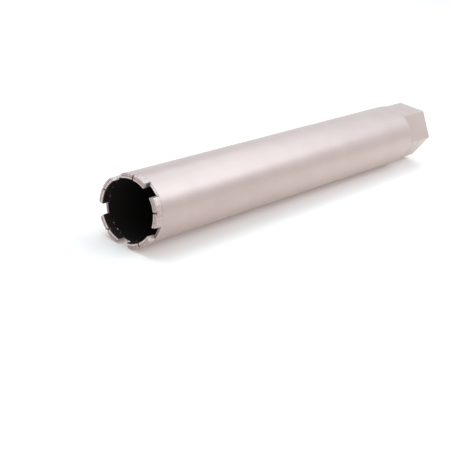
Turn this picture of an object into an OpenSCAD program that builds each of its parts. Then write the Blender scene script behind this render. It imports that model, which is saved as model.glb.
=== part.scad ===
// Diamond core bit for wet drilling: a steel barrel with brazed diamond segments at
// its cutting end and a hexagonal hub with an internal thread at its drive end.
// It lies on its side along X, with the crown towards -X and a water slot facing down.

/* [Barrel] */
// Outside diameter of the barrel tube
barrel_od = 50; // [40:1:80]
// Wall thickness of the barrel tube
barrel_wall = 2; // [1.5:0.25:3]
// Length of the barrel tube, from the segments to the hub collar
barrel_length = 328; // [150:1:450]

/* [Segments] */
// Length of one diamond segment along its chord
segment_length = 20; // [14:0.5:24]
// Height of a segment above the end of the barrel, to its ridge
segment_height = 7; // [5:0.5:12]
// How far a segment stands out past the outside of the barrel
outer_side_clearance = 0.5; // [0.2:0.1:1]
// How far a segment stands in past the inside of the barrel
inner_side_clearance = 1; // [0.2:0.1:1.5]
// Drop from the ridge of the cutting face to its two long edges
ridge_drop = 0.6; // [0.2:0.1:1.5]
// Width of the small notch across the middle of the cutting face
notch_width = 1.2; // [0.8:0.1:2]
// Depth of that notch below the ridge
notch_depth = 1.6; // [1:0.1:3]

/* [Hub] */
// Size of the hexagon across its flats
hex_flats = 41.3; // [38:0.1:50]
// Length of the hexagon, from the collar to the end of the hub
hex_length = 33; // [20:1:50]
// How far the corners at the end of the hexagon are turned down, on the radius
corner_relief = 0.3; // [0.1:0.1:2]
// Length of the round collar between the barrel and the hexagon
collar_length = 8; // [5:0.5:15]
// Radius that rounds the shoulder of the collar
collar_rounding = 6; // [1:0.5:7]
// Length of the spigot that centres the hub inside the barrel
spigot_length = 6; // [3:0.5:15]
// Radial clearance between the spigot and the inside of the barrel
spigot_clearance = 0.1; // [0.05:0.05:0.3]

/* [Thread] */
// Major diameter of the internal thread, which sets the bore through the hub
thread_major = 31.75; // [20:0.25:34]
// Countersink at the mouth of the thread, on the radius
mouth_chamfer = 1.5; // [0.5:0.25:2]

/* [Hidden] */
$fn = 120;

segment_count = 5;
slot_pitch = 360 / segment_count;
cut_past = 1;

barrel_radius = barrel_od / 2;
barrel_bore_radius = barrel_radius - barrel_wall;
crown_radius = barrel_radius + outer_side_clearance;
core_radius = barrel_bore_radius - inner_side_clearance;
ridge_radius = (crown_radius + core_radius) / 2;

// Distances along the axis, from the ridges of the crown to the end of the hub
barrel_start = segment_height;
barrel_end = barrel_start + barrel_length;
hex_start = barrel_end + collar_length;
hub_end = hex_start + hex_length;
spigot_start = barrel_end - spigot_length;

hex_corner_radius = hex_flats / 2 / cos(30);
// The dome is centred one corner radius inside the hub's end
dome_radius = norm([hex_corner_radius - corner_relief, hex_corner_radius]);
thread_radius = thread_major / 2;

// The corners of two neighbouring segments stand on either side of the slot below
slot_half_angle = slot_pitch / 2 - asin(segment_length / 2 / crown_radius);
axis_height = max(barrel_radius, crown_radius * cos(slot_half_angle));

// Lays a shape built upright on Z down along X, with its own X side facing the floor
module laid() {
    translate([-hub_end / 2, 0, axis_height])
        rotate([0, 90, 0])
            children();
}

// Outline of a segment's section, with the ridge of its cutting face at height 0
module segment_section() {
    polygon([
        [core_radius, segment_height],
        [core_radius, ridge_drop],
        [ridge_radius, 0],
        [crown_radius, ridge_drop],
        [crown_radius, segment_height]
    ]);
}

// One segment: a curved block with parallel ends and a notch across its cutting face
module segment(index) {
    color([0.80, 0.75, 0.73])
        laid()
            rotate([0, 0, (index - 0.5) * slot_pitch])
                difference() {
                    intersection() {
                        rotate_extrude()
                            segment_section();
                        translate([0, -segment_length / 2, -cut_past])
                            cube([crown_radius + cut_past, segment_length, segment_height + 2 * cut_past]);
                    }
                    translate([core_radius - cut_past, -notch_width / 2, -cut_past])
                        cube([crown_radius - core_radius + 2 * cut_past, notch_width, notch_depth + cut_past]);
                }
}

// Barrel: a plain tube with both ends cut square
module barrel() {
    color([0.86, 0.82, 0.81])
        laid()
            translate([0, 0, barrel_start])
                difference() {
                    cylinder(r = barrel_radius, h = barrel_length);
                    translate([0, 0, -cut_past])
                        cylinder(r = barrel_bore_radius, h = barrel_length + 2 * cut_past);
                }
}

// Half section of the round part of the hub: the spigot and the collar
module hub_section() {
    translate([0, spigot_start])
        square([barrel_bore_radius - spigot_clearance, spigot_length + cut_past]);
    translate([0, barrel_end])
        square([barrel_radius, collar_length - collar_rounding]);
    translate([0, barrel_end])
        square([barrel_radius - collar_rounding, collar_length]);
    translate([barrel_radius - collar_rounding, hex_start - collar_rounding])
        circle(r = collar_rounding);
}

// Round blank of the hexagon, with a domed end that takes the corners off there
module domed_blank() {
    translate([0, 0, barrel_end])
        cylinder(r = dome_radius, h = hub_end - hex_corner_radius - barrel_end);
    translate([0, 0, hub_end - hex_corner_radius])
        sphere(r = dome_radius);
}

// Hexagon of the hub, with the corners of its free end turned off
module hub_hexagon() {
    intersection() {
        translate([0, 0, barrel_end])
            rotate([0, 0, 30])
                cylinder(r = hex_corner_radius, h = hub_end - barrel_end, $fn = 6);
        domed_blank();
    }
}

// Hub: spigot, collar and hexagon in one piece, with the thread's bore right through
module hub() {
    color([0.84, 0.78, 0.77])
        laid()
            difference() {
                union() {
                    rotate_extrude()
                        hub_section();
                    hub_hexagon();
                }
                translate([0, 0, spigot_start - cut_past])
                    cylinder(r = thread_radius, h = hub_end - spigot_start + 2 * cut_past);
                translate([0, 0, hub_end - mouth_chamfer])
                    cylinder(
                        r1 = thread_radius,
                        r2 = thread_radius + mouth_chamfer + cut_past,
                        h = mouth_chamfer + cut_past
                    );
            }
}

hub();
barrel();
segment(1);  // segment_1
segment(2);  // segment_2
segment(3);  // segment_3
segment(4);  // segment_4
segment(5);  // segment_5
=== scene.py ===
import math

import bmesh
import bpy
from mathutils import Matrix, Vector, noise


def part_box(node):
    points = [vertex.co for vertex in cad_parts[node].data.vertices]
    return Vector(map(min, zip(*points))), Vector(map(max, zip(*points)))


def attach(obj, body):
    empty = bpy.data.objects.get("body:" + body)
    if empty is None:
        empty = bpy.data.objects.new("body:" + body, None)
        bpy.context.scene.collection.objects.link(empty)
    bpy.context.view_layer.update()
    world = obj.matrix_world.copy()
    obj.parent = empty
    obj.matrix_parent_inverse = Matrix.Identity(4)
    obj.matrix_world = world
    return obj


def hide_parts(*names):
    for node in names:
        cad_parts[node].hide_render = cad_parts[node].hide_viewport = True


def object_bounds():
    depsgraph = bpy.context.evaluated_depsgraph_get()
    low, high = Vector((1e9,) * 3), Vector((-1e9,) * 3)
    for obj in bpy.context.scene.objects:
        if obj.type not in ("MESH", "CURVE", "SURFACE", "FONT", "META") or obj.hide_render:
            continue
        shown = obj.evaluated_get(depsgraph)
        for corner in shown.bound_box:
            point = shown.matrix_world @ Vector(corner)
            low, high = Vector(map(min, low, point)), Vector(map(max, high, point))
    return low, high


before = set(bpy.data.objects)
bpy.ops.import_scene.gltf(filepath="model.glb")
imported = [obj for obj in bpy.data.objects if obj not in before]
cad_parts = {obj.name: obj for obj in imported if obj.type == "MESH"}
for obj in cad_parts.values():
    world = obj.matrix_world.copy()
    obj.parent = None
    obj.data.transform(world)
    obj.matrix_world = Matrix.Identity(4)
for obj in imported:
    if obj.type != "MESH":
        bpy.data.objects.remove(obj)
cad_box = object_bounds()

scene = bpy.context.scene

# Camera
# A long lens looks down at the crown from the cutting end and leans a little to one side,
# so that the barrel runs away from it to the upper right.
camera_place = Vector((-0.7486, -0.4531, 0.3281))
camera_aim = Vector((-0.0709, 0.0, -0.0118))
camera_lean = math.radians(11.0)
camera_lens = 94.84
film_width = 36.0
farthest_sight = 60.0

camera_data = bpy.data.cameras.new("camera")
camera_data.lens = camera_lens
camera_data.sensor_width = film_width
camera_data.clip_end = farthest_sight
camera = bpy.data.objects.new("camera", camera_data)
scene.collection.objects.link(camera)
upright = (camera_aim - camera_place).to_track_quat("-Z", "Y").to_matrix().to_4x4()
camera.matrix_world = Matrix.Translation(camera_place) @ upright @ Matrix.Rotation(camera_lean, 4, "Z")
scene.camera = camera
scene.view_settings.view_transform = "Standard"


# Studio light
# A row of three soft lights hangs over the hub end on the near side, one on the far side and
# one over the crown, in a pale room. They draw the soft bands that run along the barrel.
lamp_tint = (0.80, 0.98, 1.10)
low_room_tint = (1.0, 1.0, 1.0, 1.0)
high_room_tint = (0.94, 1.0, 1.04, 1.0)
high_room_from = 0.4
# Stops of height and brightness, from the level of the floor to straight above
room_brightness = ((0.0, 0.77), (0.20, 0.91), (0.50, 0.78), (1.0, 0.66))


class Finish:
    """A value, colour or vector of a finish. An expression on it adds the nodes it needs."""

    def __init__(self, tree, socket=None):
        self.tree = tree
        self.socket = socket

    def fill(self, node, inputs):
        """Sets each socket of a node to its value, or links it."""
        for name, value in inputs.items():
            if isinstance(value, Finish):
                self.tree.links.new(value.socket, node.inputs[name])
            else:
                node.inputs[name].default_value = value

    def surface(self, inputs):
        """Sets or links the sockets of the material's own shader."""
        self.fill(self.tree.nodes["Principled BSDF"], inputs)

    def node(self, kind, settings=None, inputs=None, output=0):
        """One of the outputs of a new node, which is set first and then filled."""
        made = self.tree.nodes.new(kind)
        for name, value in (settings or {}).items():
            if name == "stops":
                ramp = made.color_ramp.elements
                while len(ramp) < len(value):
                    ramp.new(1.0)
                for stop, (place, colour) in zip(ramp, value):
                    stop.position = place
                    stop.color = colour
            else:
                setattr(made, name, value)
        self.fill(made, inputs or {})
        return Finish(self.tree, made.outputs[output])

    def maths(self, operation, first, second=0.0):
        """A Math node on one value or on two."""
        return self.node("ShaderNodeMath", {"operation": operation}, {0: first, 1: second})

    def __add__(self, other):
        return self.maths("ADD", self, other)

    def __radd__(self, other):
        return self.maths("ADD", other, self)

    def __sub__(self, other):
        return self.maths("SUBTRACT", self, other)

    def __rsub__(self, other):
        return self.maths("SUBTRACT", other, self)

    def __mul__(self, other):
        return self.maths("MULTIPLY", self, other)

    def __rmul__(self, other):
        return self.maths("MULTIPLY", other, self)

    def __abs__(self):
        return self.maths("ABSOLUTE", self)

    def most(self, other):
        """The larger of two values."""
        return self.maths("MAXIMUM", self, other)

    def rise(self, start, end):
        """0 up to start and 1 from end on, with a soft rise between them."""
        return self.node(
            "ShaderNodeMapRange",
            {"interpolation_type": "SMOOTHSTEP"},
            {"Value": self, "From Min": start, "From Max": end},
        )

    def between(self, low, high):
        """The colour low where this is 0 and the colour high where it is 1."""
        # The colour sockets go by number, because those of other data have the same names
        return self.node("ShaderNodeMix", {"data_type": "RGBA"}, {0: self, 6: low, 7: high}, output=2)

    def stops(self, *stops):
        """The grey that a ramp of (place, brightness) stops gives this value."""
        greys = [(place, (grey, grey, grey, 1.0)) for place, grey in stops]
        return self.node("ShaderNodeValToRGB", {"stops": greys}, {"Fac": self})

    def place(self):
        """The point on the surface, in metres and in the frame of the whole bit."""
        return self.node("ShaderNodeTexCoord", output="Object")

    def part(self, axis):
        """The X, Y or Z of this place or direction."""
        return self.node("ShaderNodeSeparateXYZ", inputs={"Vector": self}, output=axis)


def soft_light(name, place, size, power):
    """A square soft light that faces the middle of the bit."""
    lamp = bpy.data.lights.new(name, "AREA")
    lamp.shape = "SQUARE"
    lamp.size = size
    lamp.energy = power
    lamp.color = lamp_tint
    stand = bpy.data.objects.new(name, lamp)
    stand.location = place
    stand.rotation_euler = (-Vector(place)).to_track_quat("-Z", "Y").to_euler()
    scene.collection.objects.link(stand)


soft_light("near_light_1", place=(0.35, -0.58, 0.64), size=0.55, power=1.55)
soft_light("near_light_2", place=(0.60, -0.45, 0.65), size=0.55, power=1.20)
soft_light("near_light_3", place=(0.60, -0.30, 0.70), size=0.60, power=1.30)
soft_light("far_light", place=(0.52, 0.14, 0.75), size=0.60, power=1.75)
soft_light("top_light", place=(-0.20, 0.30, 0.90), size=0.55, power=4.80)

room = bpy.data.worlds.new("room")
room.use_nodes = True
room_light = Finish(room.node_tree)
height = room_light.node("ShaderNodeTexCoord", output="Generated").part("Z")
tint = height.rise(0.0, high_room_from).between(low_room_tint, high_room_tint)
walls = height.stops(*room_brightness)
room_light.fill(room.node_tree.nodes["Background"], {"Color": tint, "Strength": walls})
scene.world = room


# Floor
# A wide sheet of white paper, on which the bit casts only a soft shadow. It glows faintly,
# and more so further out, so that it stays white up to the edges of the picture.
floor_half_width = 6.0
paper_white = (0.81, 0.75, 0.715, 1.0)
near_glow = (1.0, 0.92, 0.86, 1.0)
far_glow = (1.7, 1.9, 2.0, 1.0)
near_glow_to = 0.4
far_glow_from = 1.3

floor_mesh = bmesh.new()
bmesh.ops.create_grid(floor_mesh, x_segments=1, y_segments=1, size=floor_half_width)
floor_data = bpy.data.meshes.new("floor")
floor_mesh.to_mesh(floor_data)
floor_mesh.free()
floor = bpy.data.objects.new("floor", floor_data)
scene.collection.objects.link(floor)


def new_finish(name):
    """A new material, and the finish that its nodes hang on."""
    material = bpy.data.materials.new(name)
    material.use_nodes = True
    return material, Finish(material.node_tree)


paper, finish = new_finish("white_paper")
distance = finish.node(
    "ShaderNodeVectorMath", {"operation": "LENGTH"}, {"Vector": finish.place()}, output="Value"
)
finish.surface({
    "Base Color": paper_white,
    "Roughness": 0.9,
    "Specular IOR Level": 0.0,
    "Emission Color": distance.rise(near_glow_to, far_glow_from).between(near_glow, far_glow),
    "Emission Strength": 0.12,
})
floor_data.materials.append(paper)


# Barrel
# A length of drawn steel tube with both ends cut square. It is sprayed outside with a satin
# champagne metallic paint, and inside it is still black from the mill.
barrel_low, barrel_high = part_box("barrel")
barrel_radius = (barrel_high.z - barrel_low.z) / 2
axis_height = (barrel_high.z + barrel_low.z) / 2
barrel_wall = 0.002
barrel_bore_radius = barrel_radius - barrel_wall
barrel_edge = 0.00015
barrel_bare_edge = 0.0004
barrel_steps = 240
barrel_crease = math.radians(30)
same_point = 1e-7

paint_light = (0.545, 0.422, 0.382, 1.0)
paint_deep = (0.475, 0.364, 0.330, 1.0)
mill_black = (0.018, 0.015, 0.014, 1.0)
paint_metal = 0.45
paint_fade = 0.0002
overspray_size = 0.0008
overspray_reach = 0.0003
cloud_size = 0.022
flake_size = 0.00035
peel_size = 0.0016
peel_depth = 0.00002
ring_width = 0.0004
ring_scale = (1.0, 0.02, 0.02)


def turned(section, steps, closed=True):
    """A bmesh turned about the bit's axis from (x, radius) points."""
    shape = bmesh.new()
    points = [shape.verts.new((x, 0.0, axis_height + radius)) for x, radius in section]
    edges = [shape.edges.new(pair) for pair in zip(points, points[1:])]
    if closed:
        edges.append(shape.edges.new((points[-1], points[0])))
    bmesh.ops.spin(
        shape, geom=points + edges, cent=(0.0, 0.0, axis_height), axis=(1.0, 0.0, 0.0),
        angle=math.tau, steps=steps, use_merge=True,
    )
    bmesh.ops.remove_doubles(shape, verts=shape.verts, dist=same_point)
    bmesh.ops.recalc_face_normals(shape, faces=shape.faces)
    return shape


def as_object(name, shape):
    """An object that takes over a bmesh."""
    data = bpy.data.meshes.new(name)
    shape.to_mesh(data)
    shape.free()
    piece = bpy.data.objects.new(name, data)
    scene.collection.objects.link(piece)
    return piece


def smooth_faces(piece, crease):
    """Smooths the faces and keeps every edge crisp that turns by more than the crease."""
    shape = bmesh.new()
    shape.from_mesh(piece.data)
    for face in shape.faces:
        face.smooth = True
    for edge in shape.edges:
        edge.smooth = len(edge.link_faces) == 2 and edge.calc_face_angle() < crease
    shape.to_mesh(piece.data)
    shape.free()


def radius_from_axis(place):
    """How far a place on the surface is from the bit's axis."""
    across = place.part("Y")
    up = place.part("Z") - axis_height
    return place.maths("SQRT", across * across + up * up)


def grain(place, size, detail=2.0, roughness=0.5):
    """Noise from 0 to 1 in lumps of a size in metres."""
    return place.node(
        "ShaderNodeTexNoise",
        inputs={"Vector": place, "Scale": 1 / size, "Detail": detail, "Roughness": roughness},
    )


def bumps(height, depth):
    """The normal of a surface that rises by depth where height rises from 0 to 1."""
    return height.node("ShaderNodeBump", inputs={"Strength": 1.0, "Distance": depth, "Height": height})


def champagne(name, bare_radius, bare_colour, bare_roughness, bare_metal, tool_marks=0.0):
    """Champagne paint outside bare_radius from the axis, and the bare metal inside it."""
    material, finish = new_finish(name)
    place = finish.place()
    overspray = grain(place, overspray_size) * overspray_reach
    painted = (radius_from_axis(place) + overspray).rise(bare_radius, bare_radius + paint_fade)
    cloud = grain(place, cloud_size, detail=3.0)
    flake = grain(place, flake_size, detail=1.0)
    peel = grain(place, peel_size)
    stretched = finish.node("ShaderNodeMapping", inputs={"Vector": place, "Scale": ring_scale})
    rings = grain(stretched, ring_width)
    tone = (cloud * 0.4 + flake * 0.6).rise(0.3, 0.7)
    paint_roughness = 0.32 + cloud * 0.03 + flake * 0.06
    metal_roughness = bare_roughness + rings * 0.2
    finish.surface({
        "Base Color": painted.between(bare_colour, tone.between(paint_deep, paint_light)),
        "Roughness": painted * paint_roughness + (1 - painted) * metal_roughness,
        "Metallic": painted * paint_metal + (1 - painted) * bare_metal,
        "Coat Weight": painted * 0.2,
        "Specular IOR Level": 0.25,
        "Coat Roughness": 0.25,
        "Normal": bumps(peel + flake * 0.3 + rings * tool_marks, peel_depth),
    })
    return material


barrel_section = [
    (barrel_low.x, barrel_bore_radius + barrel_edge),
    (barrel_low.x, barrel_radius - barrel_edge),
    (barrel_low.x + barrel_edge, barrel_radius),
    (barrel_high.x, barrel_radius),
    (barrel_high.x, barrel_bore_radius),
    (barrel_low.x + barrel_edge, barrel_bore_radius),
]
barrel_tube = as_object("barrel_tube", turned(barrel_section, barrel_steps))
smooth_faces(barrel_tube, barrel_crease)
barrel_tube.data.materials.append(champagne(
    "barrel_champagne", barrel_bore_radius + barrel_bare_edge, mill_black,
    bare_roughness=0.5, bare_metal=0.0,
))
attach(barrel_tube, "root")
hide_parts("barrel")


# Hub
# One piece of steel: a spigot that is welded into the barrel, a turned collar with a rounded
# shoulder, a milled hexagon, and a right-hand thread of seven turns to the inch right through.
hub_low, hub_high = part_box("hub")
spigot_clearance = 0.0001
spigot_radius = barrel_bore_radius - spigot_clearance
spigot_edge = 0.0005
collar_length = 0.008
collar_end = barrel_high.x + collar_length
collar_rounding = 0.006
shoulder_steps = 20
turning_steps = 192
hexagon_flats = 0.0413
hexagon_corner = hexagon_flats / 2 / math.cos(math.radians(30))
hexagon_edge = 0.0004
cut_past = 0.002
same_carved_point = 5e-6
hub_crease = math.radians(28)
hub_bare_mouth = 0.0008

steel = (0.42, 0.375, 0.34, 1.0)


def spaced(start, end, steps):
    """Numbers from start to end, with both of them, in even steps."""
    return [start + (end - start) * i / steps for i in range(steps + 1)]


def arc(centre_x, centre_radius, size, start, end, steps):
    """Points of a section on an arc. Its angles in degrees start at +X and turn outwards."""
    angles = [math.radians(angle) for angle in spaced(start, end, steps)]
    return [(centre_x + size * math.cos(a), centre_radius + size * math.sin(a)) for a in angles]


def rounded(shape, edges, size):
    """Rounds edges off."""
    bmesh.ops.bevel(
        shape, geom=edges, offset=size, offset_type="OFFSET", affect="EDGES",
        segments=3, profile=0.5, material=-1, clamp_overlap=True,
    )


def bisected(shape, place, normal, drop_beyond=False):
    """Cuts the faces along a plane, and may drop what lies beyond it."""
    return bmesh.ops.bisect_plane(
        shape, geom=shape.verts[:] + shape.edges[:] + shape.faces[:],
        plane_co=place, plane_no=normal, clear_outer=drop_beyond,
    )


def sawn(shape, place, outwards):
    """Cuts off what lies outwards of a place, and closes the cut with a flat face."""
    cut = bisected(shape, place, outwards, drop_beyond=True)
    rim = [item for item in cut["geom_cut"] if isinstance(item, bmesh.types.BMEdge)]
    bmesh.ops.edgeloop_fill(shape, edges=rim)


def carved(base, changes):
    """Changes a piece by tools, each with its operation, and uses them up."""
    for operation, tool in changes:
        change = base.modifiers.new(operation.lower(), "BOOLEAN")
        change.operation = operation
        change.solver = "EXACT"
        change.object = tool
    carved_base = base.evaluated_get(bpy.context.evaluated_depsgraph_get())
    finished = bpy.data.meshes.new_from_object(carved_base)
    base.modifiers.clear()
    shape = bmesh.new()
    shape.from_mesh(finished)
    bmesh.ops.remove_doubles(shape, verts=shape.verts, dist=same_carved_point)
    bmesh.ops.dissolve_degenerate(shape, edges=shape.edges, dist=same_carved_point)
    shape.to_mesh(base.data)
    shape.free()
    bpy.data.meshes.remove(finished)
    for operation, tool in changes:
        bpy.data.objects.remove(tool)


def flatten_shading(piece):
    """Keeps the big faces flat to the eye and turns the light on the rounded edges only."""
    weights = piece.modifiers.new("flat_faces", "WEIGHTED_NORMAL")
    weights.keep_sharp = True


shoulder = arc(
    collar_end - collar_rounding, barrel_radius - collar_rounding, collar_rounding,
    start=90, end=0, steps=shoulder_steps,
)
hub_section = [
    (hub_low.x, 0.0),
    (hub_low.x, spigot_radius - spigot_edge),
    (hub_low.x + spigot_edge, spigot_radius),
    (barrel_high.x, spigot_radius),
    (barrel_high.x, barrel_radius),
    *shoulder,
    (collar_end, 0.0),
]
hub_body = as_object("hub_body", turned(hub_section, turning_steps, closed=False))

hexagon_start = barrel_high.x + hexagon_edge
hexagon_middle = ((hub_high.x + hexagon_start) / 2, 0.0, axis_height)
lying = Matrix.Rotation(math.pi / 2, 3, "Y")
hexagon = bmesh.new()
bmesh.ops.create_cone(
    hexagon, segments=6, radius1=hexagon_corner, radius2=hexagon_corner,
    depth=hub_high.x - hexagon_start, cap_ends=True,
)
bmesh.ops.rotate(hexagon, verts=hexagon.verts, cent=(0.0, 0.0, 0.0), matrix=lying)
bmesh.ops.translate(hexagon, verts=hexagon.verts, vec=hexagon_middle)
outer_edges = [edge for edge in hexagon.edges if max(v.co.x for v in edge.verts) > collar_end]
rounded(hexagon, outer_edges, hexagon_edge)
bmesh.ops.recalc_face_normals(hexagon, faces=hexagon.faces)

# The thread is cut by a tap: one pitch of its outline, wound along the axis
inch = 0.0254
turns_per_inch = 7
thread_pitch = inch / turns_per_inch
thread_major = 0.015875
thread_depth = thread_pitch * math.sqrt(3) / 2 * 5 / 8
thread_minor = thread_major - thread_depth
thread_crest = thread_pitch / 4
thread_root = thread_pitch / 8
thread_flank = (thread_pitch - thread_crest - thread_root) / 2
thread_steps = 72
tap_from = hub_low.x - cut_past
tap_to = hub_high.x + cut_past
tap_lead_in = 1.5 * thread_pitch
tap_spare_turns = 3
tap_turns = math.ceil((tap_to - tap_from) / thread_pitch) + tap_spare_turns
same_tap_point = 1e-6

thread_outline = [
    (0.0, thread_minor),
    (thread_crest, thread_minor),
    (thread_crest + thread_flank, thread_major),
    (thread_crest + thread_flank + thread_root, thread_major),
    (thread_pitch, thread_minor),
]
tap = bmesh.new()
points = [
    tap.verts.new((tap_from - tap_lead_in + x, 0.0, axis_height + radius))
    for x, radius in thread_outline
]
edges = [tap.edges.new(pair) for pair in zip(points, points[1:])]
bmesh.ops.spin(
    tap, geom=points + edges, cent=(0.0, 0.0, axis_height), axis=(1.0, 0.0, 0.0),
    dvec=(thread_pitch / thread_steps, 0.0, 0.0),
    angle=math.tau * tap_turns, steps=thread_steps * tap_turns,
)
bmesh.ops.remove_doubles(tap, verts=tap.verts, dist=same_tap_point)
sawn(tap, (tap_from, 0.0, axis_height), (-1.0, 0.0, 0.0))
sawn(tap, (tap_to, 0.0, axis_height), (1.0, 0.0, 0.0))
bmesh.ops.recalc_face_normals(tap, faces=tap.faces)

mouth_chamfer = 0.0015
mouth_radius = thread_major + mouth_chamfer
countersink_tip = 0.012


def countersink(end, inwards):
    """The tool that opens the thread's mouth at one end of the hub, as a blunt cone."""
    tip_x = end + inwards * (mouth_radius - countersink_tip)
    back_x = end - inwards * cut_past
    section = [
        (tip_x, 0.0),
        (tip_x, countersink_tip),
        (back_x, mouth_radius + cut_past),
        (back_x, 0.0),
    ]
    return turned(section, turning_steps, closed=False)


carved(
    hub_body,
    [
        ("UNION", as_object("hexagon", hexagon)),
        ("DIFFERENCE", as_object("tap", tap)),
        ("DIFFERENCE", as_object("mouth", countersink(hub_high.x, -1.0))),
        ("DIFFERENCE", as_object("inner_mouth", countersink(hub_low.x, 1.0))),
    ],
)
smooth_faces(hub_body, hub_crease)
flatten_shading(hub_body)
hub_body.data.materials.append(champagne(
    "hub_champagne", thread_major + hub_bare_mouth, steel,
    bare_roughness=0.35, bare_metal=1.0, tool_marks=0.8,
))
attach(hub_body, "root")
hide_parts("hub")


# Diamond segments
# Five blocks of sintered metal and diamond grit, pressed with a low ridge along the cutting
# face and a notch across its middle. Each is brazed on the end of the barrel and sprayed with
# it, and the paint on them is thin. The top one's ends darken towards the foot: painted shade.
segment_count = 5
crown_x = cad_box[0].x
segment_height = barrel_low.x - crown_x
segment_half_length = 0.010
crown_radius = 0.0255
core_radius = 0.022
ridge_radius = (crown_radius + core_radius) / 2
ridge_drop = 0.0006
notch_half_width = 0.0006
notch_depth = 0.0016
segment_columns = 20
segment_edge = 0.0003
segment_corner = math.radians(50)
segment_crease = math.radians(30)
# The segment whose ends get painted shade
shaded_segment = 3
notch_index = 1
end_index = 2
facing = 0.9
partly_facing = 0.5
hair = 1e-6

segment_light = (0.70, 0.54, 0.50, 1.0)
segment_deep = (0.38, 0.28, 0.255, 1.0)
rubbed_light = (0.85, 0.72, 0.68, 1.0)
flank_light = (0.62, 0.48, 0.44, 1.0)
flank_deep = (0.38, 0.285, 0.26, 1.0)
inside_light = (0.080, 0.059, 0.052, 1.0)
inside_deep = (0.015, 0.011, 0.010, 1.0)
seam_dark = (0.030, 0.022, 0.020, 1.0)
grit_size = 0.0007
mottle_size = 0.0015
speck_size = 0.00028
crystals_per_metre = 1400.0
grit_depth = 0.00008
painted_from = core_radius + 0.0001
painted_full = core_radius + 0.0006
flank_from = crown_radius - 0.0004
flank_full = crown_radius - 0.0001
rubbed_to = ridge_radius - 0.0010
rubbed_end = ridge_radius - 0.0001
seam_from = barrel_low.x - 0.0006
seam_full = barrel_low.x - 0.0002
face_fade = 0.0004
# Width and waver of the dark line along the ridge, which is painted shade
ridge_shade_width = 0.0006
ridge_shade_waver = 0.0004
end_shade_depth = 0.0045


def segment_turn(number):
    """The turn about the axis from a block's place to the segment's, with a slot at the bottom."""
    return Matrix.Rotation(math.radians(360 / segment_count * (number - 0.5)) + math.pi, 3, "X")


def segment_block(number):
    """A straight block, with its length along Y, which is then bent round the axis."""
    shape = bmesh.new()
    outline = [
        (segment_height, -segment_half_length),
        (0.0, -segment_half_length),
        (0.0, -notch_half_width),
        (notch_depth, -notch_half_width),
        (notch_depth, notch_half_width),
        (0.0, notch_half_width),
        (0.0, segment_half_length),
        (segment_height, segment_half_length),
    ]
    corners = [shape.verts.new((crown_x + depth, along, core_radius)) for depth, along in outline]
    side = shape.faces.new(corners)
    swept = bmesh.ops.extrude_face_region(shape, geom=[side], use_keep_orig=True)
    far = [item for item in swept["geom"] if isinstance(item, bmesh.types.BMVert)]
    bmesh.ops.translate(shape, verts=far, vec=(0.0, 0.0, crown_radius - core_radius))

    # The two long edges of the cutting face drop away from the ridge
    bisected(shape, (0.0, 0.0, ridge_radius), (0.0, 0.0, 1.0))
    for vert in shape.verts:
        if vert.co.x < crown_x + ridge_drop and abs(vert.co.z - ridge_radius) > hair:
            vert.co.x += ridge_drop
    bmesh.ops.recalc_face_normals(shape, faces=shape.faces)
    rounded(shape, [e for e in shape.edges if e.calc_face_angle_signed() > segment_corner], segment_edge)

    # The notch and the two ends have finishes of their own
    for face in shape.faces:
        middle = face.calc_center_median()
        between_walls = abs(middle.y) <= notch_half_width + hair
        above_bottom = middle.x < crown_x + notch_depth + hair
        if between_walls and above_bottom and abs(face.normal.z) < partly_facing:
            face.material_index = notch_index
        elif abs(face.normal.y) > facing:
            face.material_index = end_index

    # Columns let the block bend round the axis, where its heights become radii
    for along in spaced(-segment_half_length, segment_half_length, segment_columns)[1:-1]:
        bisected(shape, (0.0, along, 0.0), (0.0, 1.0, 0.0))
    for vert in shape.verts:
        vert.co.z = math.sqrt(vert.co.z ** 2 - vert.co.y ** 2)
    bmesh.ops.rotate(shape, verts=shape.verts, cent=(0.0, 0.0, 0.0), matrix=segment_turn(number))
    bmesh.ops.translate(shape, verts=shape.verts, vec=(0.0, 0.0, axis_height))
    return shape


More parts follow.
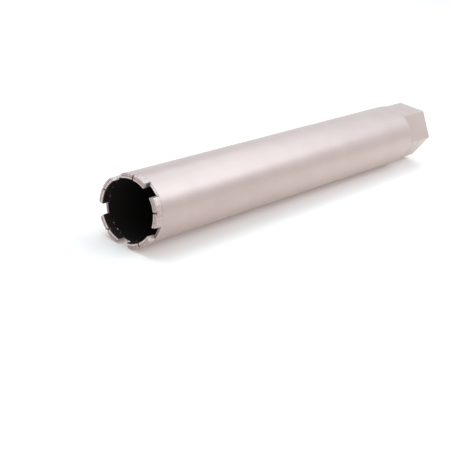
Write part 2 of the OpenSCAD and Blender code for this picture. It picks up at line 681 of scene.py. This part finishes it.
def sintered(name, shade_depths, painted_shade):
    """Thin champagne paint over grainy metal, bare brownish metal on the inner face, and painted shade
    that darkens it further in from the crown.
    """
    material, finish = new_finish(name)
    place = finish.place()
    axial = place.part("X")
    radius = radius_from_axis(place)
    grit = grain(place, grit_size, detail=3.0, roughness=0.65)
    speck = grain(place, speck_size, detail=1.0)
    mottle = grain(place, mottle_size)
    crystal = finish.node("ShaderNodeTexVoronoi", inputs={"Vector": place, "Scale": crystals_per_metre})
    tone = (grit * 0.35 + mottle * 0.5 + speck * 0.15).rise(0.35, 0.65)

    outside = radius.rise(painted_from, painted_full)
    flank = radius.rise(flank_from, flank_full)
    cutting_face = 1 - axial.rise(crown_x + ridge_drop, crown_x + ridge_drop + face_fade)
    waver = (grit - 0.5) * ridge_shade_waver
    # A dark line along the cutting face's ridge: painted shade where the face turns over
    ridge_shade = 1 - abs(radius - ridge_radius + waver).rise(0.0, ridge_shade_width)
    rubbed = cutting_face * (1 - radius.rise(rubbed_to, rubbed_end)) * tone.rise(-0.5, 1.0)
    face_colour = tone.between(segment_deep, segment_light)
    flank_colour = tone.between(flank_deep, flank_light)
    painted = rubbed.between(flank.between(face_colour, flank_colour), rubbed_light)
    bare = (grit * 0.5 + speck * 0.5).rise(0.35, 0.65).between(inside_deep, inside_light)

    seam = axial.rise(seam_from, seam_full) * speck.rise(0.25, 0.5)
    pits = speck.rise(0.60, 0.70)
    # Real pits and the cutting face's own darker tone, with the ridge line as painted shade
    wear_and_ridge_shade = pits * 0.35 + cutting_face * 0.12 + cutting_face * ridge_shade * 0.35
    # Painted shade: darker deeper in from the crown, over shade_depths and by painted_shade, at the
    # bottom of the notch and on the top segment's ends
    deep_shade = (axial - crown_x).rise(*shade_depths) * painted_shade
    # The seam's dark joint and the pits are real; the ridge line and the deep shade are painted shade
    dirt_and_shade = (seam * 0.6).most(wear_and_ridge_shade).most(deep_shade)
    relief = grit + speck * 0.5 + (1 - crystal.rise(0.0, 0.4)) * 0.6
    finish.surface({
        "Base Color": dirt_and_shade.between(outside.between(bare, painted), seam_dark),
        "Roughness": 0.28 + grit * 0.14,
        "Metallic": paint_metal - dirt_and_shade * 0.4,
        "Coat Weight": outside * (1 - dirt_and_shade) * 0.3,
        "Coat Roughness": 0.3,
        "Normal": bumps(relief, grit_depth),
    })
    return material


segment_finish = sintered("segment_sintered_metal", (0.0, segment_height), painted_shade=0.0)
# The notch darkens towards its bottom: painted shade
notch_finish = sintered("segment_notch", (ridge_drop, notch_depth), painted_shade=0.8)
# The top segment's ends darken towards their foot: painted shade
shaded_end_finish = sintered("segment_shaded_end", (0.0, end_shade_depth), painted_shade=0.95)
for number in range(1, segment_count + 1):
    block = as_object(f"segment_{number}_block", segment_block(number))
    smooth_faces(block, segment_crease)
    flatten_shading(block)
    block.data.materials.append(segment_finish)
    block.data.materials.append(notch_finish)
    block.data.materials.append(shaded_end_finish if number == shaded_segment else segment_finish)
    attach(block, "root")
    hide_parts(f"segment_{number}")


# Braze
# A thin uneven fillet of silver braze runs round the foot of each segment. Outside it is mostly
# under the paint and shows as a fine dark line. Inside its lumps stay bright. On the barrel's end
# mottled braze and paint stand partly for light: silver in the two upper slots and the lowest
# one, a painted highlight, and darker in the two side slots, painted shade.
bead_size = 0.00020
bead_wobble = 0.00010
fillet_size = 0.00048
fillet_wobble = 0.00045
thinnest_bead = 0.00006
wobbles_per_metre = 900
bead_lift = 0.00006
bead_proud = 0.00006
fillet_proud = 0.00045
bead_outer_radius = barrel_radius + bead_proud
bead_inner_radius = barrel_bore_radius - fillet_proud
bead_half_length = segment_half_length + bead_proud
bead_steps = 25
bead_end_steps = 5

braze_silver = (0.88, 0.81, 0.75, 1.0)
end_light = (0.34, 0.26, 0.235, 1.0)
end_deep = (0.20, 0.15, 0.135, 1.0)
patch_size = 0.0009
flux_size = 0.0012
smear_size = 0.0014
braze_depth = 0.00005
painted_braze_from = barrel_radius - 0.0004
painted_braze_full = barrel_radius - 0.0001
foot_fade_in = 0.0002
foot_fade_out = 0.0001
# A band at mid height across the side slots, where the barrel's end is darker: painted shade
shade_band_height = 0.0175
shade_band_half_height = 0.0125
shade_band_fade = 0.003
end_face_index = 1
end_face_to = barrel_low.x + barrel_edge / 4


def braze_bead(number):
    """A closed bead round the foot of a segment, from a curve whose thickness wanders."""
    into_end = barrel_low.x + bead_lift
    off_end = barrel_low.x - bead_lift
    bead = (bead_size, bead_wobble)
    fillet = (fillet_size, fillet_wobble)
    forth = spaced(-bead_half_length, bead_half_length, bead_steps)
    back = spaced(bead_half_length, -bead_half_length, bead_steps)
    inwards = spaced(bead_outer_radius, bead_inner_radius, bead_end_steps)[1:-1]
    outwards = spaced(bead_inner_radius, bead_outer_radius, bead_end_steps)[1:-1]

    # A spot holds its place on the block, and the thickness there with how far it wanders
    spots = [(into_end, along, bead_outer_radius, *bead) for along in forth]
    spots += [(off_end, bead_half_length, radius, *bead) for radius in inwards]
    spots += [(into_end, along, bead_inner_radius, *fillet) for along in back]
    spots += [(off_end, -bead_half_length, radius, *bead) for radius in outwards]

    path = bpy.data.curves.new(f"braze_{number}_path", "CURVE")
    path.dimensions = "3D"
    path.bevel_depth = bead_size
    path.bevel_resolution = 2
    line = path.splines.new("POLY")
    line.points.add(len(spots) - 1)
    line.use_cyclic_u = True
    for point, (x, along, radius, size, wobble) in zip(line.points, spots):
        place = segment_turn(number) @ Vector((x, along, math.sqrt(radius ** 2 - along ** 2)))
        place.z += axis_height
        point.co = (*place, 1.0)
        thickness = size + wobble * 2 * noise.noise(place * wobbles_per_metre)
        point.radius = max(thinnest_bead, thickness) / bead_size

    carrier = bpy.data.objects.new("carrier", path)
    shape = bmesh.new()
    shape.from_mesh(bpy.data.meshes.new_from_object(carrier))
    bpy.data.objects.remove(carrier)
    bmesh.ops.remove_doubles(shape, verts=shape.verts, dist=same_point)
    bmesh.ops.recalc_face_normals(shape, faces=shape.faces)
    for face in shape.faces:
        face.smooth = True
    return shape


def braze_metal(name):
    """Silver braze with dark flux on it inside, and patchy paint over it outside."""
    material, finish = new_finish(name)
    place = finish.place()
    radius = radius_from_axis(place)
    outside = radius.rise(painted_braze_from, painted_braze_full)
    past_core = radius.rise(core_radius - foot_fade_in, core_radius)
    past_bore = radius.rise(barrel_bore_radius - foot_fade_out, barrel_bore_radius)
    foot = past_core * (1 - past_bore)
    patches = grain(place, patch_size)
    flux = (grain(place, flux_size) + foot * 0.2).rise(0.5, 0.6)
    painted = patches.rise(0.50, 0.60).between(seam_dark, segment_deep)
    finish.surface({
        "Base Color": outside.between(flux.between(braze_silver, seam_dark), painted),
        "Roughness": 0.3 + flux * 0.4,
        "Metallic": (1 - outside) * (1 - flux) * 0.5,
        "Normal": bumps(patches, braze_depth),
    })
    return material


braze_finish = braze_metal("silver_braze")
for number in range(1, segment_count + 1):
    bead = as_object(f"braze_{number}", braze_bead(number))
    bead.data.materials.append(braze_finish)
    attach(bead, "root")


def braze_end_with_painted_light(name):
    """Mottled braze and paint on the barrel's end, silver as a painted highlight in the upper slots and
    the lowest one, darker as painted shade in the side ones.
    """
    material, finish = new_finish(name)
    place = finish.place()
    smear = grain(place, smear_size)
    from_shade_band = abs(place.part("Z") - shade_band_height)
    # Silver braze above and below the band is a painted highlight; the darker paint inside it is painted
    # shade
    painted_highlight = from_shade_band.rise(shade_band_half_height - shade_band_fade, shade_band_half_height) * smear.rise(0.30, 0.50)
    finish.surface({
        "Base Color": painted_highlight.between(smear.between(end_deep, end_light), braze_silver),
        "Roughness": 0.35 + smear * 0.2,
        "Metallic": paint_metal - painted_highlight * 0.25,
        "Normal": bumps(smear, braze_depth),
    })
    return material


barrel_tube.data.materials.append(braze_end_with_painted_light("braze_and_painted_light_on_barrel_end"))
for face in barrel_tube.data.polygons:
    if face.center.x < end_face_to:
        face.material_index = end_face_index
